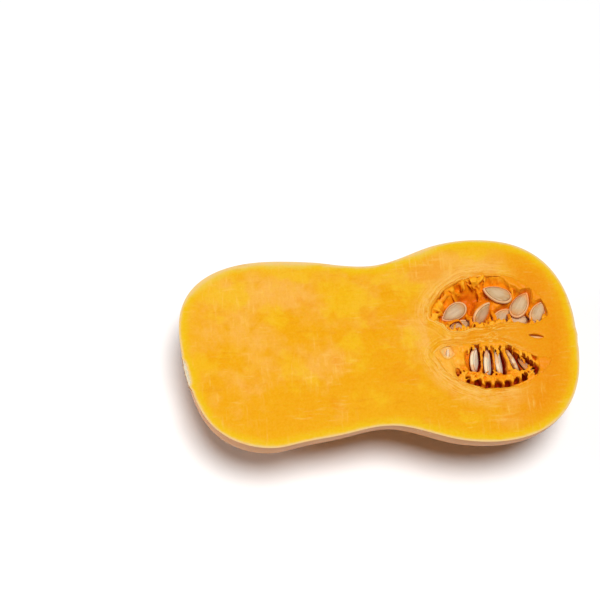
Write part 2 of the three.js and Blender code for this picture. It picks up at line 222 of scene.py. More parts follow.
def slit_outline():
    turn = np.linspace(0, 2 * math.pi, 56, endpoint=False)
    lens = np.column_stack([
        SLIT["length"] / 2 * np.cos(turn),
        SLIT["width"] / 2 * np.sign(np.sin(turn)) * np.abs(np.sin(turn)) ** 1.3,
    ])
    c, s = math.cos(math.radians(SLIT["turn"])), math.sin(math.radians(SLIT["turn"]))
    return lens @ np.array([[c, s], [-s, c]]) + SLIT["centre"]


def chamber_walls(outline, wall, side):
    """Rings of points from a chamber's edge down its curved wall."""
    torn = (outline[:, 1] - wall_edge(wall, outline[:, 0])) * side
    farther = np.maximum if side > 0 else np.minimum
    rings = []
    for level in np.linspace(0, 0.88, 26):
        shrink = (1 - level**2.2) ** 0.5
        x = HOLLOW_CENTRE[0] + (outline[:, 0] - HOLLOW_CENTRE[0]) * shrink
        arc = HOLLOW_CENTRE[1] + (outline[:, 1] - HOLLOW_CENTRE[1]) * shrink
        edge = wall_edge(wall, x) + np.minimum(torn, 0.6) * side
        y = np.where(torn < 0.8, edge, farther(arc, edge))
        down = np.full_like(x, level * HOLLOW_DEPTH)
        ripple = 0.5 * lumps(x + y, down, 3.2, 33) * min(level * 8, 1)
        rings.append(np.column_stack([x, y + ripple * side, CUT - down]))
    return rings


def slit_walls(outline):
    centre = np.array(SLIT["centre"])
    return [
        np.column_stack([centre + (outline - centre) * (1 - level**2) ** 0.5,
                         np.full(len(outline), CUT - level * SLIT["depth"])])
        for level in np.linspace(0, 0.92, 8)
    ]


# The cut face: flat but for what a knife and soft flesh leave. The lips of the hollow are rounded,
# and the flesh round it rises in faint ridges. Its mesh is fine by the hollow and along the rind.
FINE_REACH, FINE_SPACING, COARSE_SPACING = 46, 0.78, 2.3


def tree_of(outline, spacing):
    points = evenly(outline, spacing)
    tree = KDTree(len(points))
    for i, (x, y) in enumerate(points):
        tree.insert((x, y, 0), i)
    tree.balance()
    return tree


def distances(tree, points):
    return np.array([tree.find((x, y, 0))[2] for x, y in points])


def inside(outline, points):
    """Whether each point lies inside a closed outline."""
    x, y = points[:, 0], points[:, 1]
    within = np.zeros(len(points), bool)
    for (x0, y0), (x1, y1) in zip(outline, np.roll(outline, -1, axis=0)):
        if y0 != y1:
            crossed = (y0 > y) != (y1 > y)
            within ^= crossed & (x < (x1 - x0) * (y - y0) / (y1 - y0) + x0)
    return within


def lattice(low, high, spacing):
    """Points at the corners of even triangles that fill a box."""
    columns = np.arange(low[0], high[0], spacing)
    rows = np.arange(low[1], high[1], spacing * 0.866)
    return np.vstack([
        np.column_stack([columns + (spacing / 2 if i % 2 else 0), np.full(len(columns), row)])
        for i, row in enumerate(rows)
    ])


face_edge = np.vstack([skin[:, -1, :2], skin[-2:0:-1, 0, :2]])
upper_edge, lower_edge, slit_edge = chamber_outline(*UPPER), chamber_outline(*LOWER), slit_outline()
holes = (upper_edge, lower_edge, slit_edge)
face_tree = tree_of(face_edge, 0.15)
hollow_trees = [tree_of(hole, 0.12) for hole in holes]


def hollow_distance(points):
    return np.min([distances(tree, points) for tree in hollow_trees], axis=0)


def round_hollow(points):
    """How far round the hollow a place lies, in millimetres, both ways from the stem side."""
    return 30 * np.arctan2(points[:, 1] - HOLLOW_CENTRE[1], HOLLOW_CENTRE[0] - points[:, 0])


def beyond_hollow(points):
    """How far outside the whole hollow's rounded outline a place lies, in millimetres."""
    share = np.linalg.norm((points[:, :2] - HOLLOW_CENTRE) / HOLLOW_REACH, axis=1)
    return HOLLOW_MEAN_REACH * (share - 1)


def face_relief(points, hollow):
    """Height of the cut face over its plane: rounded lips and broken fibres round the hollow."""
    x, y = points[:, 0], points[:, 1]
    lip = -(0.5 + 0.3 * lumps(x, y, 2.4, 41)) * np.exp(-hollow / 0.5)
    wander = 2.6 * lumps(x, y, 9, 42) + 0.8 * lumps(x, y, 3, 45)
    fibres = lumps(hollow + wander, round_hollow(points) * 0.15, 1.1, 44)
    fibres = fibres * np.clip((86 - x) / 22, 0.15, 1)
    relief = lip + 0.32 * fibres * np.exp(-hollow / 6) - 0.1 * np.exp(-hollow / 4)
    relief = relief * (1 - pulp_level(x, y) * np.exp(-hollow / 1.5))
    return relief + 0.04 * lumps(x, y, 9, 43)


def face_points():
    """Inner points of the face: rings along its edges, fine ones by the hollow, coarse beyond."""
    kept = []
    for offset in (0.4, 0.85, 1.4, 2.2, 3.3, 4.8, 6.6):
        ring = face_edge - outward(face_edge) * offset
        kept.append(ring[distances(face_tree, ring) > 0.9 * offset])
    for hole in holes:
        for offset in (0.3, 0.65, 1.1):
            ring = hole + outward(hole) * offset
            kept.append(ring[hollow_distance(ring) > 0.85 * offset])
    fine = lattice(HOLLOW_CENTRE - FINE_REACH, HOLLOW_CENTRE + FINE_REACH, FINE_SPACING)
    fine = fine[inside(face_edge, fine)]
    near = hollow_distance(fine)
    kept.append(fine[(near > 1.5) & (near < 8.5) & (distances(face_tree, fine) > 7.4)])
    coarse = lattice(face_edge.min(0), face_edge.max(0), COARSE_SPACING)
    coarse = coarse[inside(face_edge, coarse)]
    kept.append(coarse[(hollow_distance(coarse) > 9.6) & (distances(face_tree, coarse) > 8)])
    return np.vstack(kept)


def cut_face():
    """The face's points and triangles, with the two chambers and the slit left open."""
    free = face_points()
    for hole in holes:
        free = free[~inside(hole, free)]
    loops, start = [], 0
    for outline in (face_edge, *holes):
        count = len(outline)
        loops += [(start + i, start + (i + 1) % count) for i in range(count)]
        start += count
    flat = [Vector(p) for p in np.vstack([face_edge, *holes, free])]
    corners, _, triangles, *_ = delaunay_2d_cdt(flat, loops, [], 0, 1e-5)
    corners = np.array([tuple(c) for c in corners])
    triangles = np.array([t for t in triangles if len(t) == 3])
    middle = corners[triangles].mean(axis=1)
    keep = inside(face_edge, middle)
    for hole in holes:
        keep &= ~inside(hole, middle)
    hollow, rim = hollow_distance(corners), distances(face_tree, corners)
    relief = face_relief(corners, hollow) * np.clip(rim / 3, 0, 1)
    return np.column_stack([corners, CUT + relief]), triangles[keep], rim, hollow


class Patch:
    """Points in millimetres with their faces, their finish, and values for the materials."""

    def __init__(self, points, faces, finish=0, **values):
        self.points, self.faces = np.asarray(points), faces
        self.finish, self.values = finish, values


def surface_values(count, **known):
    """What the finishes of flesh and rind read at each of the points."""
    usual = dict.fromkeys(("hollow", "rim", "round", "beyond", "share", "girth", "stem", "blossom"),
                          OUT_OF_REACH) | {"rim": 0, "share": 0, "girth": 0}
    return {name: np.broadcast_to(known.get(name, value), count) for name, value in usual.items()}


def placed(name, data):
    """A new object at the origin."""
    made = bpy.data.objects.new(name, data)
    bpy.context.scene.collection.objects.link(made)
    return made


def keep_values(mesh, values):
    """Stores a number for each point of a mesh, under names that the finishes read."""
    for name, numbers in values.items():
        layer = mesh.attributes.new(name, "FLOAT", "POINT").data
        layer.foreach_set("value", numbers.astype(np.float32))


def grid_faces(rows, columns, round_about=False):
    """Faces of a grid of points, whose columns may run round and meet."""
    last = columns if round_about else columns - 1
    i, j = np.meshgrid(np.arange(rows - 1), np.arange(last), indexing="ij")
    near, right = i * columns, (j + 1) % columns
    far = near + columns
    return np.stack([near + j, near + right, far + right, far + j], -1).reshape(-1, 4).tolist()


def walled(rings, downwards):
    """A patch of flesh from rings of points that ends in a point."""
    count = len(rings[0])
    tip = np.append(rings[-1][:, :2].mean(0), rings[-1][0, 2] - downwards)
    last = (len(rings) - 1) * count
    faces = grid_faces(len(rings), count, round_about=True)
    faces += [[last + i, last + (i + 1) % count, len(rings) * count] for i in range(count)]
    points = np.vstack([*rings, tip])
    known = surface_values(len(points), hollow=points[:, 2] - CUT, rim=30, round=0, beyond=-9)
    return Patch(points, faces, 1, **known)


def mesh_piece(name, patches, finishes=(), weld=0.0, sharp=None):
    """One Blender object from patches, in the frame's metres, its faces turned outwards."""
    mesh = bpy.data.meshes.new(name)
    offsets = np.cumsum([0] + [len(p.points) for p in patches])
    points = np.vstack([p.points for p in patches]) * MM
    faces = [[int(v) + int(offset) for v in face]
             for p, offset in zip(patches, offsets) for face in p.faces]
    mesh.from_pydata(points.tolist(), [], faces)
    finish = np.concatenate([np.full(len(p.faces), p.finish) for p in patches])
    mesh.polygons.foreach_set("material_index", finish.astype(np.int32))
    keep_values(mesh, {name: np.concatenate([p.values[name] for p in patches])
                       for name in patches[0].values})
    work = bmesh.new()
    work.from_mesh(mesh)
    if weld:
        bmesh.ops.remove_doubles(work, verts=work.verts, dist=weld * MM)
        bmesh.ops.dissolve_degenerate(work, edges=work.edges, dist=1e-7)
    bmesh.ops.recalc_face_normals(work, faces=work.faces)
    work.to_mesh(mesh)
    work.free()
    mesh.shade_smooth()
    if sharp:
        mesh.set_sharp_from_angle(angle=math.radians(sharp))
    for made in finishes:
        mesh.materials.append(made)
    return placed(name, mesh)


# The finishes follow where a point lies: how far in from the rind, how far out from the seed
# hollow, how deep below the cut, and how far round the skin. Python's own signs build the maths.
def sign(operation, reflected=False):
    """A method of a wire that adds one Math node between it and another value."""
    def method(self, other):
        return self.maths(operation, *((other, self) if reflected else (self, other)))
    return method


class Wire:
    """A socket of a node tree. Adding, multiplying and the like add the tree's Math nodes."""

    def __init__(self, tree, socket):
        self.tree, self.socket = tree, socket

    def __getitem__(self, output):
        return Wire(self.tree, self.socket.node.outputs[output])

    def maths(self, operation, *values):
        return self.tree.node("ShaderNodeMath", dict(enumerate(values)), operation=operation)

    __add__ = __radd__ = sign("ADD")
    __mul__ = __rmul__ = sign("MULTIPLY")
    __sub__, __rsub__ = sign("SUBTRACT"), sign("SUBTRACT", reflected=True)
    __truediv__, __pow__, at_least = sign("DIVIDE"), sign("POWER"), sign("MAXIMUM")

    def __neg__(self):
        return self * -1

    def raised(self):
        """The number e to the power of this value."""
        return self.maths("EXPONENT", self)

    def ease(self, low, high):
        """0 below low, 1 above high, and smooth between; low may be the greater."""
        return self.tree.node("ShaderNodeMapRange", {0: self, 1: low, 2: high},
                              interpolation_type="SMOOTHSTEP")


class Tree:
    """A node tree that is filled by calls."""

    def __init__(self, nodes_of):
        self.tree = nodes_of
        self.tree.nodes.clear()

    def node(self, kind, values=None, out=0, **settings):
        """Adds a node: its settings first, then the values or links of its sockets."""
        made = self.tree.nodes.new(kind)
        for name, value in settings.items():
            setattr(made, name, value)
        for name, value in (values or {}).items():
            if isinstance(value, Wire):
                self.tree.links.new(value.socket, made.inputs[name])
            else:
                made.inputs[name].default_value = value
        return Wire(self, made.outputs[out]) if len(made.outputs) else made

    def join(self, x=0.0, y=0.0, z=0.0):
        return self.node("ShaderNodeCombineXYZ", {0: x, 1: y, 2: z})

    def split(self, vector):
        parts = self.node("ShaderNodeSeparateXYZ", {0: vector})
        return parts[0], parts[1], parts[2]

    def vectors(self, operation, first, second, socket=1):
        return self.node("ShaderNodeVectorMath", {0: first, socket: second}, operation=operation)


def colour(*screen):
    """A colour as seen on a screen, 0 to 255 a channel, as the linear light that is mixed."""
    linear = (((c / 255 + 0.055) / 1.055) ** 2.4 if c > 10 else c / 255 / 12.92 for c in screen)
    return (*linear, 1)


class Finish(Tree):
    """A material under construction, around one Principled shader."""

    def __init__(self, name):
        self.material = bpy.data.materials.new(name)
        self.material.use_nodes = True
        super().__init__(self.material.node_tree)
        self.place = self.node("ShaderNodeTexCoord", out="Object")

    def value(self, name):
        return self.node("ShaderNodeAttribute", out="Fac", attribute_name=name)

    def noise(self, scale, detail=3, roughness=0.6, distortion=0.0, place=None):
        return self.node("ShaderNodeTexNoise", {
            "Vector": place or self.place, "Scale": scale, "Detail": detail,
            "Roughness": roughness, "Distortion": distortion,
        })

    def stretched(self, *by):
        return self.vectors("MULTIPLY", self.place, by)

    def mix(self, share, first, second, blend="MIX"):
        return self.node("ShaderNodeMix", {0: share, 6: first, 7: second}, out=2,
                         data_type="RGBA", blend_type=blend)

    def coated(self, base, *coats):
        """A colour under coats, each given as its share and its red, green and blue."""
        for share, *tone in coats:
            base = self.mix(share, base, colour(*tone))
        return base

    def finished(self, base, height=None, bump=1.0, soft=None, **sockets):
        """Sets the shader: a relief in millimetres times the bump, and how light sinks in."""
        values = {name.replace("_", " "): value for name, value in sockets.items()}
        values["Base Color"] = base
        if soft:
            names = ("Subsurface Weight", "Subsurface Radius", "Subsurface Scale")
            values.update(zip(names, soft))
        if height is not None:
            values["Normal"] = self.node(
                "ShaderNodeBump", {"Height": height, "Strength": bump, "Distance": MM})
        shader = self.node("ShaderNodeBsdfPrincipled", values)
        self.node("ShaderNodeOutputMaterial", {"Surface": shader})
        return self.material


def flesh():
    """Moist golden flesh with pale, peachy and yellow patches, greenish yellow under the rind,
    with painted shade deep down the hollow's walls and between the fibres round it.
    """
    look = Finish("cut_flesh")
    rim, hollow, way_round, beyond = map(look.value, ("rim", "hollow", "round", "beyond"))
    along, across, _ = look.split(look.place)
    cloud, patch, small = look.noise(24, 3, 0.5), look.noise(55, 4, 0.55, 0.4), look.noise(150, 4)
    grain, specks = look.noise(900), look.noise(330)
    wisps = look.noise(620, place=look.stretched(1, 0.14, 1))
    weft = look.noise(560, place=look.stretched(0.16, 1, 1))
    pale = (cloud * 0.4 + patch * 0.35 + small * 0.25 + across * 1.3).ease(0.44, 0.62)
    yellow = (look.noise(38, 4, 0.5) + across * 2.2 + small * 0.15).ease(0.58, 0.72)
    gold = look.noise(130, 5, 0.7, place=look.stretched(1, 0.5, 1)).ease(0.46, 0.62)
    orange = (look.noise(60, 4, 0.55) + along * 1.2).ease(0.53, 0.7)
    running = look.join(hollow * 1.1 + patch * 3, way_round * 0.08, small * 1.5)
    fibre = look.noise(1, 4, 0.65, place=running)
    halo = (beyond + small * 5).ease(2.6, 6) * (beyond + cloud * 12).ease(20, 10)
    halo = halo * along.ease(0.088, 0.055)
    near = (hollow + cloud * 8).ease(15, 4) * along.ease(0.086, 0.062)
    wide = (cloud + across * 6 - along * 1.8).ease(0.78, 1)
    base = look.coated(
        look.mix(pale, colour(244, 170, 0), colour(250, 183, 76)),
        (yellow * 0.75, 247, 194, 22),
        (gold * along.ease(0.06, 0) * 0.3, 247, 178, 10),
        (orange * 0.6, 243, 154, 2),
        ((along + cloud * 0.03).ease(0.07, 0.11) * 0.85, 241, 144, 2),
        (halo * (fibre.ease(0.3, 0.6) * 0.35 + specks.ease(0.35, 0.6) * 0.5), 251, 188, 90),
        (beyond.ease(0.5, -3) * along.ease(0.036, 0.05) * 0.9, 242, 154, 8),
        ((hollow + small * 3).ease(4.2, 2) * 0.8, 244, 152, 8),
        (fibre.ease(0.51, 0.6) * near * 0.75, 255, 204, 104),
        # Deep orange in the low places between the pale fibres, where their bumped relief dips:
        # painted shade.
        (fibre.ease(0.46, 0.36) * near * 0.7, 226, 124, 4),
        ((rim + cloud * 6 + small * 3).ease(19, 7) * 0.5, 246, 182, 6),
        ((rim + small * 4).ease(8.6, 3.8) * 0.9, 243, 196, 10),
        ((rim + small * 4).ease(wide * 4 + 4.6, wide * 1.6 + 2.2) * 0.8, 242, 205, 84),
        ((rim + small).ease(wide * 2 + 1.9, 0.9), 242, 206, 140),
        (hollow.ease(-0.2, -4), 236, 118, 4),
        # Painted shade: the chamber walls turn dark red-orange from 5 to 11 mm below the cut.
        (hollow.ease(-5, -11), 196, 70, 2),
        (wisps.ease(0.54, 0.72) * cloud.ease(0.4, 0.6) * 0.4, 255, 206, 96),
        (weft.ease(0.54, 0.72) * patch.ease(0.45, 0.6) * 0.4, 255, 204, 100),
        (weft.ease(0.46, 0.3) * patch.ease(0.55, 0.4) * 0.3, 232, 146, 0),
        (grain.ease(0.4, 0.7) * 0.14, 255, 196, 70),
        (grain.ease(0.5, 0.3) * 0.12, 226, 132, 0),
    )
    height = grain * 0.05 + fibre * near * 0.5 + patch * 0.1 + specks * 0.1
    return look.finished(
        look.mix(1, base, (0.9, 0.9, 0.9, 1), "MULTIPLY"), height + wisps * 0.06 + weft * 0.06,
        0.8, (0.2, (1.0, 0.45, 0.12), 0.003),
        Roughness=cloud.ease(0.2, 0.9) * 0.16 + 0.4, Specular_IOR_Level=0.05,
    )


def rind():
    """Thin, hard, waxy tan skin with pale streaks, fine pores and a few healed scratches."""
    look = Finish("tan_rind")
    along, girth, stem, blossom = map(look.value, ("share", "girth", "stem", "blossom"))
    streaks = look.noise(3.2, 5, place=look.join(along * 1.6, girth * 7))
    cloud, pores, corky = look.noise(24, 4, 0.55), look.noise(900, 2, 0.5), look.noise(420, 5, 0.7)
    dots = look.node("ShaderNodeTexVoronoi", {"Vector": look.place, "Scale": 210, "Randomness": 1})
    turned = look.node("ShaderNodeMapping", {
        "Vector": look.place, "Rotation": (0.3, 0.5, 0.4), "Scale": (1, 6.5, 5)})
    scratches = look.noise(22, 6, 0.75, 0.4, turned).ease(0.7, 0.76)
    base = look.coated(
        look.mix(streaks.ease(0.3, 0.75), colour(217, 149, 88), colour(223, 159, 99)),
        (cloud.ease(0.42, 0.7) * 0.6, 217, 148, 82),
        (cloud.ease(0.5, 0.25) * 0.4, 236, 186, 136),
        (dots.ease(0.16, 0.06) * look.noise(190, 1, 0.5).ease(0.52, 0.6) * 0.75, 236, 204, 172),
        (scratches * 0.6, 150, 98, 58),
        (stem.ease(11.5, 9.4) * stem.ease(7, 8.6) * corky.ease(0.25, 0.55), 176, 132, 92),
        (stem.ease(8.4, 7), 255, 239, 206),
        (stem.ease(7.8, 6.2) * corky.ease(0.58, 0.76) * 0.6, 214, 180, 146),
        (blossom.ease(4.8, 3), 148, 108, 70),
    )
    rough_places = stem.ease(12, 8).at_least(blossom.ease(6, 3))
    height = pores * 0.03 + streaks * 0.05 - scratches * 0.06 + corky * rough_places * 0.7
    return look.finished(
        base, height, 0.9, (0.08, (1.0, 0.5, 0.25), 0.0015),
        Roughness=streaks.ease(0.2, 0.8) * 0.1 + 0.4 + rough_places * 0.35, Specular_IOR_Level=0.14,
    )


face, face_triangles, face_rim, face_hollow = cut_face()
upper_rings, lower_rings = chamber_walls(upper_edge, *UPPER), chamber_walls(lower_edge, *LOWER)
slit_rings = slit_walls(slit_edge)
for outline, rings in zip(holes, (upper_rings, lower_rings, slit_rings)):
    rings[0][:, 2] += face_relief(outline, hollow_distance(outline))
    rings[0][:, :2] = outline
stem_side, from_axis = skin_share.ravel() < 0.5, skin_radius.ravel()

squash_half = mesh_piece(
    "squash_half_finished",
    [
        Patch(skin.reshape(-1, 3), grid_faces(*skin.shape[:2]), 0, **surface_values(
            skin_radius.size, share=skin_share.ravel(), girth=skin_angle.ravel(),
            stem=np.where(stem_side, from_axis, OUT_OF_REACH),
            blossom=np.where(stem_side, OUT_OF_REACH, from_axis))),
        Patch(face, face_triangles.tolist(), 1, **surface_values(
            len(face), hollow=face_hollow, rim=face_rim,
            round=round_hollow(face), beyond=beyond_hollow(face))),
        walled(upper_rings, 1), walled(lower_rings, 1), walled(slit_rings, 0.5),
    ],
    [rind(), flesh()],
    weld=0.004,
    sharp=50,
)
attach(squash_half, "root")
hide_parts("squash_half")

# The seeds: flat drops in a papery ivory husk, with a raised margin round them that is tan at its
# edge. Those in the larger chamber lie as they fell, and those in the smaller one stand in the row
# that they grew in. One tree of nodes makes them all, each with its own small unevenness.
SEED_LENGTH, SEED_WIDTH, SEED_THICKNESS = 16.4, 10.2, 3.0
SEED_POINT, SEED_FULLNESS = 0.55, 1.12
SEED_RIM, SEED_RIM_DIP, SEED_RIM_WIDTH = 0.82, 0.24, 0.075
SEEDS = (
    # x, y, depth below the cut, heading of the tip, lean, dip of the tip, size
    (69.6, 27.2, 3.4, 153, 8, 2, 1.05),
    (82.3, 20.9, 6, 56, -16, -8, 1.02),
    (91, 14.8, 3.7, 58, 14, -4, 0.87),
    (44, 19, 6.6, 206, -12, 12, 0.98),
    (60, 17.6, 6.8, 50, 48, -14, 0.92),
    (71.6, 16, 10.2, 38, 26, -2, 0.86),
    (47.4, 11.6, 10.6, 24, 34, -6, 0.86),
    (81.2, 12.6, 10, 14, 20, 0, 0.74),
    (86.8, -0.7, 4.8, 169, 80, 0, 0.74),
    (36.4, -6.6, 6.4, 80, 90, 72, 0.78),
    (51.2, -10.6, 5.4, 79, 60, 2, 0.94),
    (58.2, -13.2, 5.6, 84, 66, -2, 0.98),
    (64.4, -13.6, 5.6, 91, 68, 0, 0.98),
    (72.4, -13, 6, 108, 78, 2, 0.92),
    (79.6, -16.6, 5.6, 124, 52, 6, 0.8),
)


def husk():
    """Papery ivory husk, golden tan at the margin, faintly lined, with a film of dried pulp,
    a painted highlight in the middle, painted shade in the groove inside the margin,
    and painted light that whitens the standing seeds.
    """
    look = Finish("seed_husk")
    share, number = look.value("share"), look.value("number")
    flat = look.node("ShaderNodeAttribute", out="Vector", attribute_name="flat")
    along, across, _ = look.split(flat)
    lines = look.noise(1.4, 4, place=look.join(along * 0.6, across * 7, number * 0.2))
    cloud, stain = look.noise(240, 4), look.noise(130).ease(0.48, 0.64)
    mottled, standing_lit = (lines * 0.5 + cloud * 0.5).ease(0.36, 0.62), number.ease(14, 16)
    base = look.coated(
        look.mix(mottled, colour(180, 142, 98), colour(208, 176, 132)),
        (cloud.ease(0.48, 0.7) * 0.6, 190, 150, 104),
        # Paler towards the middle: the husk's own paler body, together with a painted highlight on
        # the seed's domed middle.
        ((share + cloud * 0.2).ease(0.75, 0.3) * 0.3, 228, 208, 176),
        # Painted light: the seeds standing on edge are coloured whiter, so that their steep, dimly
        # lit sides look brightly lit.
        (standing_lit * 0.7, 250, 238, 214),
        ((share + cloud * 0.06).ease(0.85, 0.9) * 0.9, 238, 190, 138),
        # More painted light, whitening the standing seeds further.
        (standing_lit * 0.45, 250, 244, 214),
        # Painted shade: a dark brown line along the groove just inside the raised margin.
        (share.ease(0.78, 0.84) * share.ease(0.91, 0.86) * 0.85, 146, 82, 36),
        (stain * share.ease(0.3, 1) * 0.5, 232, 150, 56),
        (number.ease(20.6, 21.4) * cloud.ease(0.3, 0.6) * 0.8, 208, 142, 58),
        (number.ease(22.6, 23.4) * 0.6, 190, 108, 28),
    )
    return look.finished(
        base, lines * 0.05 + cloud * 0.1, 0.8, (0.15, (1.0, 0.6, 0.35), 0.0016),
        Roughness=cloud * 0.2 + 0.4, Specular_IOR_Level=0.2,
    )


class Growth(Tree):
    """A tree of geometry nodes with named inputs, of which the seed and the finish come last."""

    def __init__(self, name, inputs):
        group = bpy.data.node_groups.new(name, "GeometryNodeTree")
        sockets = {"Geometry": ("Geometry", None), **inputs,
                   "Seed": ("Float", 0.0), "Finish": ("Material", None)}
        for title, (kind, usual) in sockets.items():
            socket = group.interface.new_socket(
                title, in_out="INPUT", socket_type=f"NodeSocket{kind}")
            if usual is not None:
                socket.default_value = usual
        group.interface.new_socket("Geometry", in_out="OUTPUT", socket_type="NodeSocketGeometry")
        super().__init__(group)
        self.given = self.node("NodeGroupInput")

    def wobbly(self, mesh, scale, detail, aside, most):
        """Moves every point by a noise, which the seed shifts aside."""
        spot = self.vectors("ADD", self.node("GeometryNodeInputPosition"), aside)
        cloud = self.node("ShaderNodeTexNoise", {
            "Vector": spot, "Scale": scale, "Detail": detail}, out="Color")
        centred = self.vectors("SUBTRACT", cloud, (0.5, 0.5, 0.5))
        offset = self.vectors("SCALE", centred, most, "Scale")
        return self.node("GeometryNodeSetPosition", {"Geometry": mesh, "Offset": offset})

    def grown(self, mesh):
        smooth = self.node("GeometryNodeSetShadeSmooth", {"Geometry": mesh})
        real = self.node("GeometryNodeRealizeInstances", {"Geometry": smooth})
        dressed = self.node("GeometryNodeSetMaterial", {
            "Geometry": real, "Material": self.given["Finish"]})
        self.node("NodeGroupOutput", {"Geometry": dressed})
        return self.tree


def seed_growth():
    """Bends a ball into a drop: pointed at +X, flat, its margin raised, and a little uneven."""
    sizes = {"Length": SEED_LENGTH, "Width": SEED_WIDTH, "Thickness": SEED_THICKNESS,
             "Unevenness": 0.4}
    grow = Growth("seed", {
        **{name: ("Float", size * MM) for name, size in sizes.items()},
        "Place": ("Vector", (0.0, 0.0, 0.0)), "Turn": ("Rotation", None),
    })
    given = grow.given
    x, y, z = grow.split(grow.node("GeometryNodeInputPosition"))
    share = (x * x + y * y) ** 0.5
    cosine = x / share.at_least(1e-5)
    narrow = ((1 - cosine) * 0.5).at_least(1e-6) ** (SEED_POINT / 2) * SEED_FULLNESS
    rim_dip = 1 - SEED_RIM_DIP * (-(((share - SEED_RIM) / SEED_RIM_WIDTH) ** 2)).raised()
    crown = z.maths("SIGN", z) * ((1 - share**6).at_least(0.0) ** 0.5 * rim_dip)
    shape = grow.join(x * given["Length"] * 0.5, y * narrow * given["Width"] * 0.5,
                      crown * given["Thickness"] * 0.5)
    mesh = grow.node("GeometryNodeMeshUVSphere", {"Segments": 72, "Rings": 40, "Radius": 1.0})
    for name, value, kind in (
        ("share", share, "FLOAT"), ("number", given["Seed"], "FLOAT"),
        ("flat", grow.join(x, y * narrow), "FLOAT_VECTOR"),
    ):
        mesh = grow.node("GeometryNodeStoreNamedAttribute", {
            "Geometry": mesh, "Name": name, "Value": value}, data_type=kind)
    mesh = grow.node("GeometryNodeSetPosition", {"Geometry": mesh, "Position": shape})
    mesh = grow.wobbly(mesh, 150.0, 2.0, grow.join(given["Seed"]), given["Unevenness"])
    return grow.grown(grow.node("GeometryNodeTransform", {
        "Geometry": mesh, "Translation": given["Place"], "Rotation": given["Turn"]}))


def plain_mesh(piece):
    """A new mesh from an object and all its modifiers."""
    graph = bpy.context.evaluated_depsgraph_get()
    return bpy.data.meshes.new_from_object(piece.evaluated_get(graph))


def grown_piece(name, tree, inputs, start=None):
    """Runs a tree of geometry nodes with the given inputs and keeps its result as a mesh."""
    holder = placed(name, start or bpy.data.meshes.new(name))
    modifier = holder.modifiers.new("growth", "NODES")
    modifier.node_group = tree
    for item in tree.interface.items_tree:
        if item.in_out == "INPUT" and item.name in inputs:
            modifier[item.identifier] = inputs[item.name]
    mesh = plain_mesh(holder)
    bpy.data.objects.remove(holder)
    return placed(name, mesh)


def grown_seeds():
    tree, finish = seed_growth(), husk()
    for i, (x, y, below, heading, lean, dip, size) in enumerate(SEEDS):
        piece = grown_piece(f"seed_{i + 1:02d}_husk", tree, {
            "Length": SEED_LENGTH * size * MM, "Width": SEED_WIDTH * size * MM,
            "Thickness": SEED_THICKNESS * size * MM, "Seed": 1.7 * i,
            "Place": (x * MM, y * MM, (CUT - below) * MM),
            "Turn": tuple(math.radians(a) for a in (lean, dip, heading)), "Finish": finish,
        })
        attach(piece, "root")
        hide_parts(f"seed_{i + 1:02d}")


grown_seeds()

# The pulp: soft orange strings that hold the seeds to the flesh. The knife tore them, so each
# chamber keeps an uneven wet bed with loose strings over it. In the smaller one a row of pits
# lies along the outer rim, where strings were rooted, and painted shade colours them dark red.
PULP_CELL = 0.42
UPPER_STRINGS = (
    # points as x, y and depth below the cut, then the thickness
    (((33, 14, 16), (35, 22, 5), (42, 29, 3), (49, 27, 14)), 1.5),
    (((40, 33, 10), (43.6, 30, 3.5), (46, 25, 6), (48, 18, 14)), 1.4),
    (((54, 37, 8), (58.4, 33, 4), (60, 27, 8), (59, 21, 16)), 1.3),
    (((63, 37, 8), (64, 33, 6), (63, 26, 11), (62, 21, 16)), 1.6),
    (((77, 31, 8), (78, 27, 2.2), (76, 22, 8), (74, 19, 15)), 1.5),
    (((36, 10, 14), (39, 11, 4), (46, 13.6, 5.4), (51, 9, 12)), 1.2),
    (((52, 7, 7), (52.5, 12, 4), (51, 17, 9), (50, 22, 17)), 1.2),
    (((64, 8, 6), (66, 13, 3.4), (65, 19, 8), (64, 24, 16)), 1.3),
    (((76, 8, 5), (74.5, 11.6, 3), (75, 16, 8), (77, 22, 16)), 1.2),
    (((86, 7, 6), (86.6, 11, 3.2), (85, 17, 10), (86, 22, 15)), 1.1),
)
LOWER_STRINGS = (
    (((43, -5, 7), (44.5, -9, 2), (44, -15, 3), (47, -21, 8)), 1.4),
    (((54.6, -4, 6), (54.9, -9, 2.2), (54.6, -16, 3.4), (54, -23, 9)), 1),
    (((61.6, -4, 6), (61.4, -9, 2.4), (61.4, -16, 3), (61.4, -24, 9)), 0.9),
    (((67.6, -5, 6), (68, -9, 1.8), (69, -16, 3), (70, -23, 9)), 1.1),
    (((73, -6, 6), (75.5, -10, 2), (78.4, -15, 4), (75.6, -22, 9)), 1),
    (((80, -11, 6), (82, -14, 1.6), (84.6, -17, 2.0), (83, -22, 8)), 1.2),
    (((77.6, -21.6, 5), (79.4, -19.6, 1.6), (81.8, -18.4, 1.8), (84, -16.6, 5)), 1.1),
    (((78.6, -24, 3), (80.4, -22.4, 1), (82, -21, 1), (83.6, -19.6, 4)), 1.3),
    (((34, -10, 7), (37, -13, 1.8), (43, -17, 2.4), (52, -20, 3)), 1.3),
    (((52, -20, 3), (60, -22.4, 2.4), (68, -22, 2.6), (76, -20, 4)), 1.2),
)
PITS = (
    # x, y and radius
    (40, -19.8, 0.9), (45.2, -23.1, 1.2), (51, -25.5, 1.7), (56.2, -27, 1.5), (61.8, -27.6, 1.8),
    (67.2, -27, 1.5), (72.2, -25.4, 1.4), (77, -23.6, 1.4), (83.4, -19.3, 1.9),
)
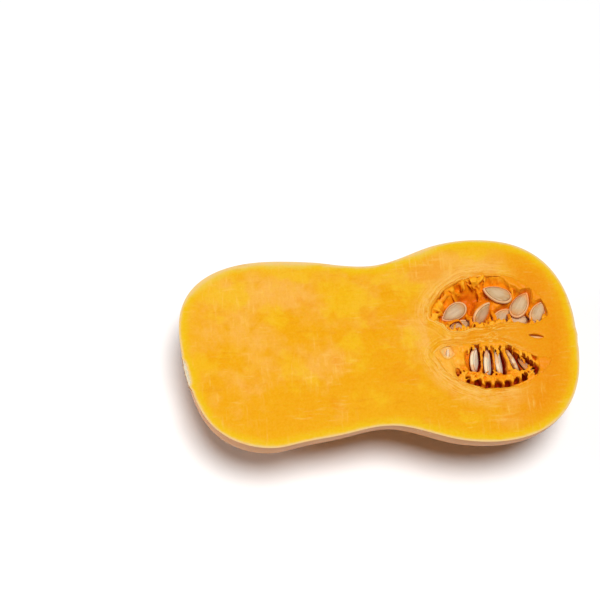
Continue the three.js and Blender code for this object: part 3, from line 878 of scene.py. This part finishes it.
GROOVES = (
    # from x, y to x, y, then width and depth: slots beside the standing seeds
    (47.7, -6.4, 45.9, -11.5, 1.2, 3.6), (45.9, -11.5, 47.6, -18, 1.2, 3.6),
    (55.2, -9.5, 54.6, -19, 0.6, 4), (61.0, -9.4, 60.7, -19.6, 0.6, 4),
    (72.6, -7, 78.4, -15, 1.2, 5.5), (79.5, -11, 86.5, -14.6, 0.8, 2.5),
    (75.4, -22.6, 78.4, -23.4, 1.0, 5),
)
UPPER_POCKETS = (
    # x, y, reach along and across, and how much deeper
    (53.4, 26.4, 7.0, 5.4, 8), (38, 26, 2.6, 4.2, 4), (34.2, 13.8, 2.8, 2.4, 4),
    (38.4, 8.8, 3.4, 1.8, 5.5), (53.8, 19.2, 1.9, 2.5, 5), (66.6, 15, 1.8, 2.8, 5),
    (74.6, 13.8, 1.7, 2.8, 4.5), (47.4, 33.2, 1.4, 1.1, 4), (57, 35.4, 1.5, 0.9, 3),
    (49.7, 8.8, 1.5, 1.3, 4), (68.1, 10.4, 1.7, 1.1, 4), (67.6, 33, 4, 1.3, 1.6),
    (80.6, 11.4, 4.6, 2.4, 6),
)
LOWER_POCKETS = (
    (36.2, -6.9, 2.8, 2.8, 3.6), (83.4, -19.4, 1.7, 2.0, 7), (41, -18.6, 3.4, 0.8, 2.4),
    (35, -13.4, 2.2, 1.4, 0.8),
)
PULP_OVERLAP = 1.3
UPPER_FLAPS, UPPER_THREADS = 40, 34
WALL_THREADS, SHORT_THREADS = 30, 40
SEED_CLEARANCE = 7


def seed_lows(x, y, seeds, room):
    """Depth below the cut of the lowest part of any seed over each place, or 0 where none lies."""
    lows = np.zeros_like(x)
    for sx, sy, below, heading, lean, dip, size in seeds:
        turn = np.array(Euler([math.radians(a) for a in (lean, dip, heading)]).to_matrix())
        half = np.array([SEED_LENGTH, SEED_WIDTH, SEED_THICKNESS]) * size / 2 + room
        for depth in np.arange(0, 20, 0.4):
            offset = np.stack([x - sx, y - sy, np.full_like(x, below - depth)], axis=-1)
            a, b, c = np.moveaxis(offset @ turn, -1, 0) / half[:, None, None]
            turned = np.arccos(np.clip(a, -1, 1))
            edge = np.sin(turned) * np.sin(turned / 2) ** SEED_POINT * SEED_FULLNESS
            lows = np.where((np.abs(a) < 1) & (np.abs(b) < edge) & (np.abs(c) < 1), depth, lows)
    return lows


def blurred(values, rounds):
    for _ in range(rounds):
        wide = np.pad(values, 1, mode="edge")
        beside = wide[:-2, 1:-1] + wide[2:, 1:-1] + wide[1:-1, :-2] + wide[1:-1, 2:]
        values = (beside + 2 * values) / 6
    return values


def ridged(x, y, size, seed):
    """Sharp-crested lumps, from 0 in the hollows to 1 on the crests."""
    return 1 - np.abs(lumps(x, y, size, seed))


def pit_trench(x, y):
    """1 along the ragged trench that joins the pits at their outer side, 0 away from it."""
    pits_x, pits_y, _ = np.transpose(PITS)
    away = np.abs(y - np.interp(x, pits_x, pits_y) + 1.5 + 0.4 * lumps(x, y, 2, 69))
    return np.clip(1.3 - (away / 0.8) ** 2, 0, 1) * ramp(x, 44, 3) * ramp(x, 80, -3)


def pockets(x, y, places):
    return sum(depth * hill(np.hypot((x - px) / rx, (y - py) / ry), 0, 1)
               for px, py, rx, ry, depth in places)


def hollow_share(x, y):
    """0 at the middle of the whole hollow and 1 at its rounded outline."""
    across = (y - HOLLOW_CENTRE[1]) / HOLLOW_REACH[1]
    return np.hypot((x - HOLLOW_CENTRE[0]) / HOLLOW_REACH[0], across)


def over_lip(x, y, tree, outline):
    """How much lower the bed lies where it laps over the chamber's lip on to the cut face."""
    points = np.column_stack([x.ravel(), y.ravel()])
    out = np.where(inside(outline, points), 0, distances(tree, points)).reshape(x.shape)
    return 0.5 * (out / PULP_OVERLAP) ** 3


def upper_bed(x, y):
    """Depth of the torn bed of the larger chamber below the cut."""
    inwards = np.maximum((1.02 - hollow_share(x, y)) * HOLLOW_MEAN_REACH, 0)
    off_wall = np.maximum(y - wall_edge(WALL_UPPER_EDGE, x) + 0.6, 0)
    folds = ridged(x + 1.4 * lumps(x, y, 4, 55), y, 4.6, 53)
    from_rim = 0.7 + 5.4 * (1 - np.exp(-inwards / 3.4))
    from_wall = 0.5 + 6.2 * (1 - np.exp(-off_wall / 3))
    bed = np.minimum(from_rim, from_wall) + pockets(x, y, UPPER_POCKETS)
    uneven = 3.2 * (0.6 - folds) + 0.7 * lumps(x, y, 2.2, 54)
    bed = bed + uneven * np.clip(bed / 4.5, 0.15, 1)
    lows = seed_lows(x, y, SEEDS[:8], 0.35)
    bed = np.where(lows > 0, np.maximum(bed, np.minimum(lows, bed + 4)), bed)
    level = pulp_level(x, y) * (1 - blurred((lows > 0).astype(float), 2))
    bed = blurred(bed, 2) * (1 - level) + (0.06 * lumps(x, y, 3, 56) - 0.06) * level
    return np.maximum(bed, 0.02 - 0.2 * level) + over_lip(x, y, hollow_trees[0], upper_edge)


def lower_bed(x, y):
    """Depth of the fuller bed of the smaller chamber below the cut."""
    threads = ridged(x + 0.5 * lumps(x, y, 5, 64), y * 0.28, 1.7, 62)
    bed = 0.45 + 0.35 * lumps(x, y * 0.4, 2.6, 61) + 0.7 * (1 - threads)
    shelf = hill(y, -21.5 + 0.012 * (x - 60) ** 2, 3.2) * ramp(x, 36, 6)
    bed = bed + shelf * (1.5 + 1.3 * lumps(x, y, 1.6, 63) + 0.8 * lumps(x, y, 0.8, 65))
    ragged_x, ragged_y = x + 0.6 * lumps(x, y, 1.4, 66), y + 0.6 * lumps(x, y, 1.4, 67)
    for px, py, radius in PITS:
        cubes = np.abs(ragged_x - px) ** 3 + np.abs(0.8 * (ragged_y - py)) ** 3
        bed = bed + 5.5 * np.clip(1.3 - (cubes ** (1 / 3) / radius) ** 2, 0, 1)
    bed = bed + 2.4 * pit_trench(x, y)
    for x0, y0, x1, y1, width, depth in GROOVES:
        run, rise = x1 - x0, y1 - y0
        share = np.clip(((x - x0) * run + (y - y0) * rise) / math.hypot(run, rise) ** 2, 0, 1)
        away = np.hypot(x - x0 - share * run, y - y0 - share * rise)
        bed = bed + depth * hill(away, 0, width * (0.35 + 0.65 * np.sin(math.pi * share)))
    bed = bed + pockets(x, y, LOWER_POCKETS)
    lows = seed_lows(x, y, SEEDS[10:15], 0.4)
    bed = blurred(np.where(lows > 0, np.maximum(bed, lows + 0.5), bed), 1)
    rim = ramp(hollow_share(x, y), 0.965, 0.03) * (1 - pulp_level(x, y))
    level = pulp_level(x, y) * (lows == 0)
    bed = (bed + 0.8 * rim) * (1 - level) + level * (pockets(x, y, LOWER_POCKETS[:1]) - 0.08)
    return np.maximum(bed, -0.1) + over_lip(x, y, hollow_trees[1], lower_edge)


def pulp_block(outline, bed, floor):
    """A closed solid whose top is the bed, over every cell that lies inside the outline."""
    low, high = outline.min(0) - 1, outline.max(0) + 1
    x, y = np.meshgrid(*(np.arange(low[k], high[k], PULP_CELL) for k in (0, 1)), indexing="ij")
    within = inside(outline, np.column_stack([x.ravel(), y.ravel()])).reshape(x.shape)
    cell = np.pad(within[:-1, :-1] & within[1:, :-1] & within[:-1, 1:] & within[1:, 1:], 1)
    levels = CUT - bed(x, y), np.full(x.shape, CUT - floor)
    points = np.vstack([np.column_stack([x.ravel(), y.ravel(), z.ravel()]) for z in levels])
    number, under = np.arange(x.size).reshape(x.shape), x.size
    faces = []
    for i, j in np.argwhere(cell) - 1:
        a, b, c, d = (int(number[i + k, j + m]) for k, m in ((0, 0), (1, 0), (1, 1), (0, 1)))
        faces += [[a, b, c, d], [a + under, d + under, c + under, b + under]]
        beside = ((0, -1), (1, 0), (0, 1), (-1, 0))
        for (k, m), (p, q) in zip(beside, ((a, b), (b, c), (c, d), (d, a))):
            if not cell[i + k + 1, j + m + 1]:
                faces.append([q, p, p + under, q + under])
    return Patch(points, faces)


def string_growth():
    """Grows each guide line into a tapering, flattened, slightly wandering string."""
    grow = Growth("pulp_strings", {"Flatness": ("Float", 0.45), "Wandering": ("Float", 1.2 * MM)})
    given = grow.given
    smooth = grow.node("GeometryNodeCurveSplineType", {"Curve": given["Geometry"]},
                       spline_type="CATMULL_ROM")
    even = grow.node("GeometryNodeResampleCurve", {"Curve": smooth, "Count": 18})
    strings = grow.wobbly(even, 230.0, 1.0, grow.join(0.0, given["Seed"]), given["Wandering"])
    ring = grow.node("GeometryNodeCurvePrimitiveCircle", {"Resolution": 10, "Radius": 1.0})
    section = grow.node("GeometryNodeTransform", {
        "Geometry": ring, "Scale": grow.join(1.0, given["Flatness"], 1.0)})
    return grow.grown(grow.node("GeometryNodeCurveToMesh", {
        "Curve": strings, "Profile Curve": section, "Fill Caps": True,
        "Scale": grow.node("GeometryNodeInputRadius"),
    }))


def guide_lines(name, lines):
    """Curves in metres from points in millimetres, with a radius at each point."""
    curve = bpy.data.curves.new(name, "CURVE")
    curve.dimensions = "3D"
    for points, radii in lines:
        spline = curve.splines.new("POLY")
        spline.points.add(len(points) - 1)
        for point, (x, y, below), radius in zip(spline.points, points, radii):
            point.co = (x * MM, y * MM, (CUT - below) * MM, 1)
            point.radius = radius * MM
            point.tilt = 2.1 * points[0][0]
    return curve


def string(points, radius, shares=(1.25, 1, 0.85, 0.6)):
    """A guide line's points and the radius at each of them."""
    return points, [radius * share for share in shares]


def off_wall(x, edge, root, reach, swing, drops):
    """Points of a string that is rooted beside a wall's edge and hangs over the chamber."""
    path = ((0, root), (0.3, 0.35 * reach), (0.7, 0.75 * reach), (1, reach))
    return [(x + share * swing, edge + out, drop) for (share, out), drop in zip(path, drops)]


def clear_of_seeds(places):
    """Whether a string keeps off the seeds on top, and inside the chamber's open part."""
    for x, y in places:
        if any(math.hypot(x - sx, y - sy) < SEED_CLEARANCE for sx, sy, *_ in SEEDS[:4]):
            return False
    off_edge = all(y > wall_edge(WALL_UPPER_EDGE, x) - 1 for x, y in places)
    return off_edge and pulp_level(*places[1]) < 0.5


def upper_guides(rng):
    """The main strings, a torn fringe along the dividing wall, and flaps off the outer wall."""
    lines = [string(*main) for main in UPPER_STRINGS]
    for x in (*np.arange(36, 76, 1.3), *np.arange(86, 94, 1.3)):
        x = x + rng.uniform(-0.5, 0.5)
        edge = float(wall_edge(WALL_UPPER_EDGE, x))
        reach, lift = rng.uniform(1.0, 4.6), rng.uniform(0.5, 2.0)
        swing, radius = rng.uniform(-2.2, 2.2), rng.uniform(0.6, 1.1)
        drops = (lift + 1, lift, lift + 0.8, lift + rng.uniform(1.5, 5))
        points = off_wall(x, edge, -1.5, reach, swing, drops)
        lines.append(string(points, radius, (1.2, 1, 0.7, 0.3)))
    for wide in [True] * UPPER_FLAPS + [False] * UPPER_THREADS:
        turn = math.radians(rng.uniform(14, 178))
        out = np.array([math.cos(turn), math.sin(turn)])
        start = HOLLOW_CENTRE + HOLLOW_REACH * out
        inwards = rng.uniform(3, 7 if wide else 9)
        deep = rng.uniform(0.2, 1.4) if wide else rng.uniform(0.8, 3.5)
        swing = rng.uniform(-5, 5) * np.array([-out[1], out[0]])
        places = [start - out * inwards * share + swing * share**2 for share in (0, 0.35, 0.7, 1)]
        drops = (deep + 0.6, deep, deep + rng.uniform(0.4, 2.2), deep + rng.uniform(2, 6))
        if clear_of_seeds(places[1:]):
            radius = rng.uniform(1.3, 2.5) if wide else rng.uniform(0.4, 0.8)
            points = [(*place, drop) for place, drop in zip(places, drops)]
            lines.append(string(points, radius, (1.3, 1, 0.7, 0.35)))
    return lines


def lower_guides(rng):
    """The walls between the seeds, teeth between the pits and fine threads."""
    lines = [string(*main) for main in LOWER_STRINGS]
    for (x0, y0, _), (x1, y1, _) in zip(PITS, PITS[1:]):
        x, y = (x0 + x1) / 2, (y0 + y1) / 2
        tooth = ((x - 0.3, y + 4.5, 2.4), (x, y + 2.4, 1.3), (x + 0.2, y + 0.8, 1.2),
                 (x + 0.3, y - 0.8, 3))
        lines.append(string(tooth, 1, (1.1, 0.8, 0.6, 0.5)))
    for _ in range(WALL_THREADS):
        x = rng.uniform(40, 84)
        edge = float(wall_edge(WALL_LOWER_EDGE, x))
        reach, lean, lift = rng.uniform(3, 9), rng.uniform(-1.6, 1.6), rng.uniform(0.3, 0.8)
        drops = (lift + 0.4, lift, lift + 0.4, lift + rng.uniform(1, 3))
        points = off_wall(x, edge, 0.5, -reach, lean, drops)
        lines.append(string(points, 1, (0.6, 0.5, 0.42, 0.2)))
    for _ in range(SHORT_THREADS):
        x, y = rng.uniform(42, 82), rng.uniform(-24, -19)
        swing, rise = rng.uniform(-2.5, 2.5), rng.uniform(-1.5, 1.5)
        thread = ((x, y, 2.6), (x + 0.4 * swing, y + 0.5 * rise, 0.9),
                  (x + 0.8 * swing, y + rise, 1.2), (x + 1.2 * swing, y + 1.4 * rise, 3))
        lines.append(string(thread, 1, (0.7, 0.65, 0.5, 0.3)))
    return lines


def largest_part(mesh):
    """Deletes the crumbs and the closed inner hollows that aren't joined to the largest part."""
    work = bmesh.new()
    work.from_mesh(mesh)
    loose, parts = set(work.verts), []
    while loose:
        part = [loose.pop()]
        for vert in part:
            for edge in vert.link_edges:
                other = edge.other_vert(vert)
                if other in loose:
                    loose.remove(other)
                    part.append(other)
        parts.append(part)
    parts.sort(key=len)
    bmesh.ops.delete(work, geom=[vert for part in parts[:-1] for vert in part], context="VERTS")
    work.to_mesh(mesh)
    work.free()


def fused(name, solids):
    """Closed solids that cross each other, made one skin with even faces and soft joins."""
    work = bmesh.new()
    for solid in solids:
        work.from_mesh(solid.data)
        bpy.data.objects.remove(solid)
    mesh = bpy.data.meshes.new(name)
    work.to_mesh(mesh)
    work.free()
    piece = placed(name, mesh)
    remesh = piece.modifiers.new("one_skin", "REMESH")
    remesh.mode, remesh.voxel_size = "VOXEL", PULP_CELL * MM
    soften = piece.modifiers.new("soft_joins", "SMOOTH")
    soften.factor, soften.iterations = 0.5, 3
    whole = plain_mesh(piece)
    piece.modifiers.clear()
    largest_part(whole)
    piece.data = whole
    return piece


def read(items, name):
    """The three numbers of each item of a mesh, as rows."""
    values = np.empty(len(items) * 3)
    items.foreach_get(name, values)
    return values.reshape(-1, 3)


def crinkle(mesh, seed):
    """Moves the skin in and out by a fine random relief."""
    place, normal = read(mesh.vertices, "co") / MM, read(mesh.vertex_normals, "vector")
    x, y = place[:, 0] + 0.7 * place[:, 2], place[:, 1] - 0.6 * place[:, 2]
    relief = 0.22 * lumps(x, y, 1.5, seed) + 0.1 * lumps(x, y, 0.7, seed + 1)
    place += normal * relief[:, None]
    place[:, 2] = np.minimum(place[:, 2], CUT + 0.2)
    mesh.vertices.foreach_set("co", (place * MM).ravel())
    mesh.update()
    mesh.shade_smooth()


def keep_places(mesh):
    """Stores where the pulp is painted dark as shade in a pit, where it is level with the cut, and
    where it is a film over the tenth seed.
    """
    x, y, z = read(mesh.vertices, "co").T / MM
    pit = np.max([np.clip(1.9 - np.hypot(x - px, y - py) / radius, 0, 1)
                  for px, py, radius in PITS], axis=0)
    pit = np.maximum(pit, 0.6 * pit_trench(x, y)) * np.clip((CUT - z - 0.9) / 1.5, 0, 1)
    level = pulp_level(x, y) * np.clip((z - CUT + 1.4) / 0.8, 0, 1)
    seed_x, seed_y = SEEDS[9][:2]
    film = np.hypot((x - seed_x + 0.4) / 4.2, (y - seed_y + 0.4) / 4)
    keep_values(mesh, {"pit": pit, "level": level, "film": film + 0.12 * lumps(x, y, 2, 68)})


def wet_pulp(name, reddens_from, shade_from, *deep_shade):
    """Wet, stringy, deep orange pulp that lets light in, redder the deeper it lies, and darkened
    deep down by painted shade.
    """
    look = Finish(name)
    along, across, up = look.split(look.place)
    depth = (CUT * MM - up) / MM
    cloud, grain, film = look.noise(150, 4), look.noise(900), look.value("film")
    threads = look.noise(700, place=look.stretched(1, 0.3, 1))
    base = look.coated(
        look.mix((depth + cloud * 3).ease(1.2, 4.5), colour(246, 166, 24), colour(243, 142, 10)),
        ((depth + cloud * 4).ease(reddens_from, reddens_from + 6), 216, 108, 8),
        # Painted shade: the pulp is coloured dark deep down in the chamber.
        ((depth + cloud * 2).ease(shade_from, shade_from + 5), *deep_shade),
        (threads.ease(0.5, 0.7) * depth.ease(6, 1) * 0.5, 254, 184, 62),
    )
    flush = look.mix(along.ease(0.06, 0.088), colour(240, 154, 12), colour(234, 138, 3))
    paler = along.ease(0.046, 0.036) * across.ease(0, -0.003) * depth.ease(3, 1)
    base = look.coated(
        look.mix(look.value("level") * 0.9, base, flush),
        (paler * 0.75, 246, 178, 62),
        # Painted shade: the pits and the ragged trench that joins them are coloured dark red.
        (look.value("pit"), 140, 24, 0),
        (film.ease(1.1, 0.6) * 0.7, 244, 206, 134),
        (film.ease(0.5, 0.2) * 0.5, 206, 150, 84),
        (film.ease(0.8, 0.98) * film.ease(1.18, 1) * 0.55, 230, 146, 36),
    )
    return look.finished(
        base, threads * 0.2 + grain * 0.1 + cloud * 0.2, 0.8, (0.15, (1.0, 0.5, 0.15), 0.002),
        Roughness=grain * 0.2 + 0.32, Specular_IOR_Level=0.12,
    )


def pulp_piece(node, outline, bed, floor, guides, seed, finish):
    strings = grown_piece(f"{node}_strings", string_growth(), {"Seed": float(seed)},
                          guide_lines(node, guides))
    lap = 0.3 + (PULP_OVERLAP - 0.3) * pulp_level(*outline.T)[:, None]
    block = mesh_piece(f"{node}_bed", [pulp_block(outline + outward(outline) * lap, bed, floor)])
    piece = fused(f"{node}_torn", (block, strings))
    crinkle(piece.data, seed)
    keep_places(piece.data)
    piece.data.materials.clear()
    piece.data.materials.append(finish)
    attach(piece, "root")
    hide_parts(node)


# In each finish the last four numbers are the depth in millimetres where painted shade begins and
# the shade's colour.
pulp_piece("pulp_upper_chamber", upper_edge, upper_bed, 21, upper_guides(np.random.default_rng(5)),
           71, wet_pulp("wet_pulp", 7, 14, 130, 58, 10))
pulp_piece("pulp_lower_chamber", lower_edge, lower_bed, 13, lower_guides(np.random.default_rng(8)),
           81, wet_pulp("fuller_pulp", 2.5, 3.5, 150, 22, 1))

# The stage: a white sweep of paper in a dim white room, with one broad soft lamp high above and a
# weak one low at the stem end.
CAMERA_PLACE = (-0.1143, -0.2901, 0.7715)
CAMERA_TURN = (24.39, -3.354, -5.334)
CAMERA_LENS, CAMERA_SENSOR, CAMERA_NEAREST = 85, 36, 0.05
PAPER_REACH = 1500
ROOM_LIGHT = 0.05
LAMPS = {
    # place and size in metres, power in watts
    "high_lamp": ((0.1, -0.16, 2.6), 1.0, 67.0),
    "side_lamp": ((-1.2, 0.1, 0.5), 0.5, 4.0),
}


def stage():
    around = ((-1, -1), (1, -1), (1, 1), (-1, 1))
    corners = [(x * PAPER_REACH, y * PAPER_REACH, 0) for x, y in around]
    paper = Finish("white_paper")
    white = paper.mix(paper.noise(3, 2, 0.5), colour(251, 251, 251), colour(253, 253, 253))
    sweep = Patch(corners, [[0, 1, 2, 3]])
    floor = mesh_piece("floor", [sweep], [paper.finished(white, Roughness=0.8)])
    world = bpy.data.worlds.new("white_room")
    world.use_nodes = True
    background = world.node_tree.nodes["Background"].inputs
    background["Color"].default_value = (1, 1, 1, 1)
    background["Strength"].default_value = ROOM_LIGHT
    bpy.context.scene.world = world
    for name, (place, size, power) in LAMPS.items():
        light = bpy.data.lights.new(name, "AREA")
        light.shape, light.size, light.energy = "DISK", size, power
        lamp = placed(name, light)
        lamp.location = place
        lamp.rotation_euler = (-Vector(place)).to_track_quat("-Z", "Y").to_euler()
    lens = bpy.data.cameras.new("camera")
    lens.lens, lens.sensor_width, lens.clip_start = CAMERA_LENS, CAMERA_SENSOR, CAMERA_NEAREST
    camera = placed("camera", lens)
    camera.location = CAMERA_PLACE
    camera.rotation_euler = Euler([math.radians(a) for a in CAMERA_TURN])
    bpy.context.scene.camera = camera
    bpy.context.scene.view_settings.view_transform = "Standard"


stage()
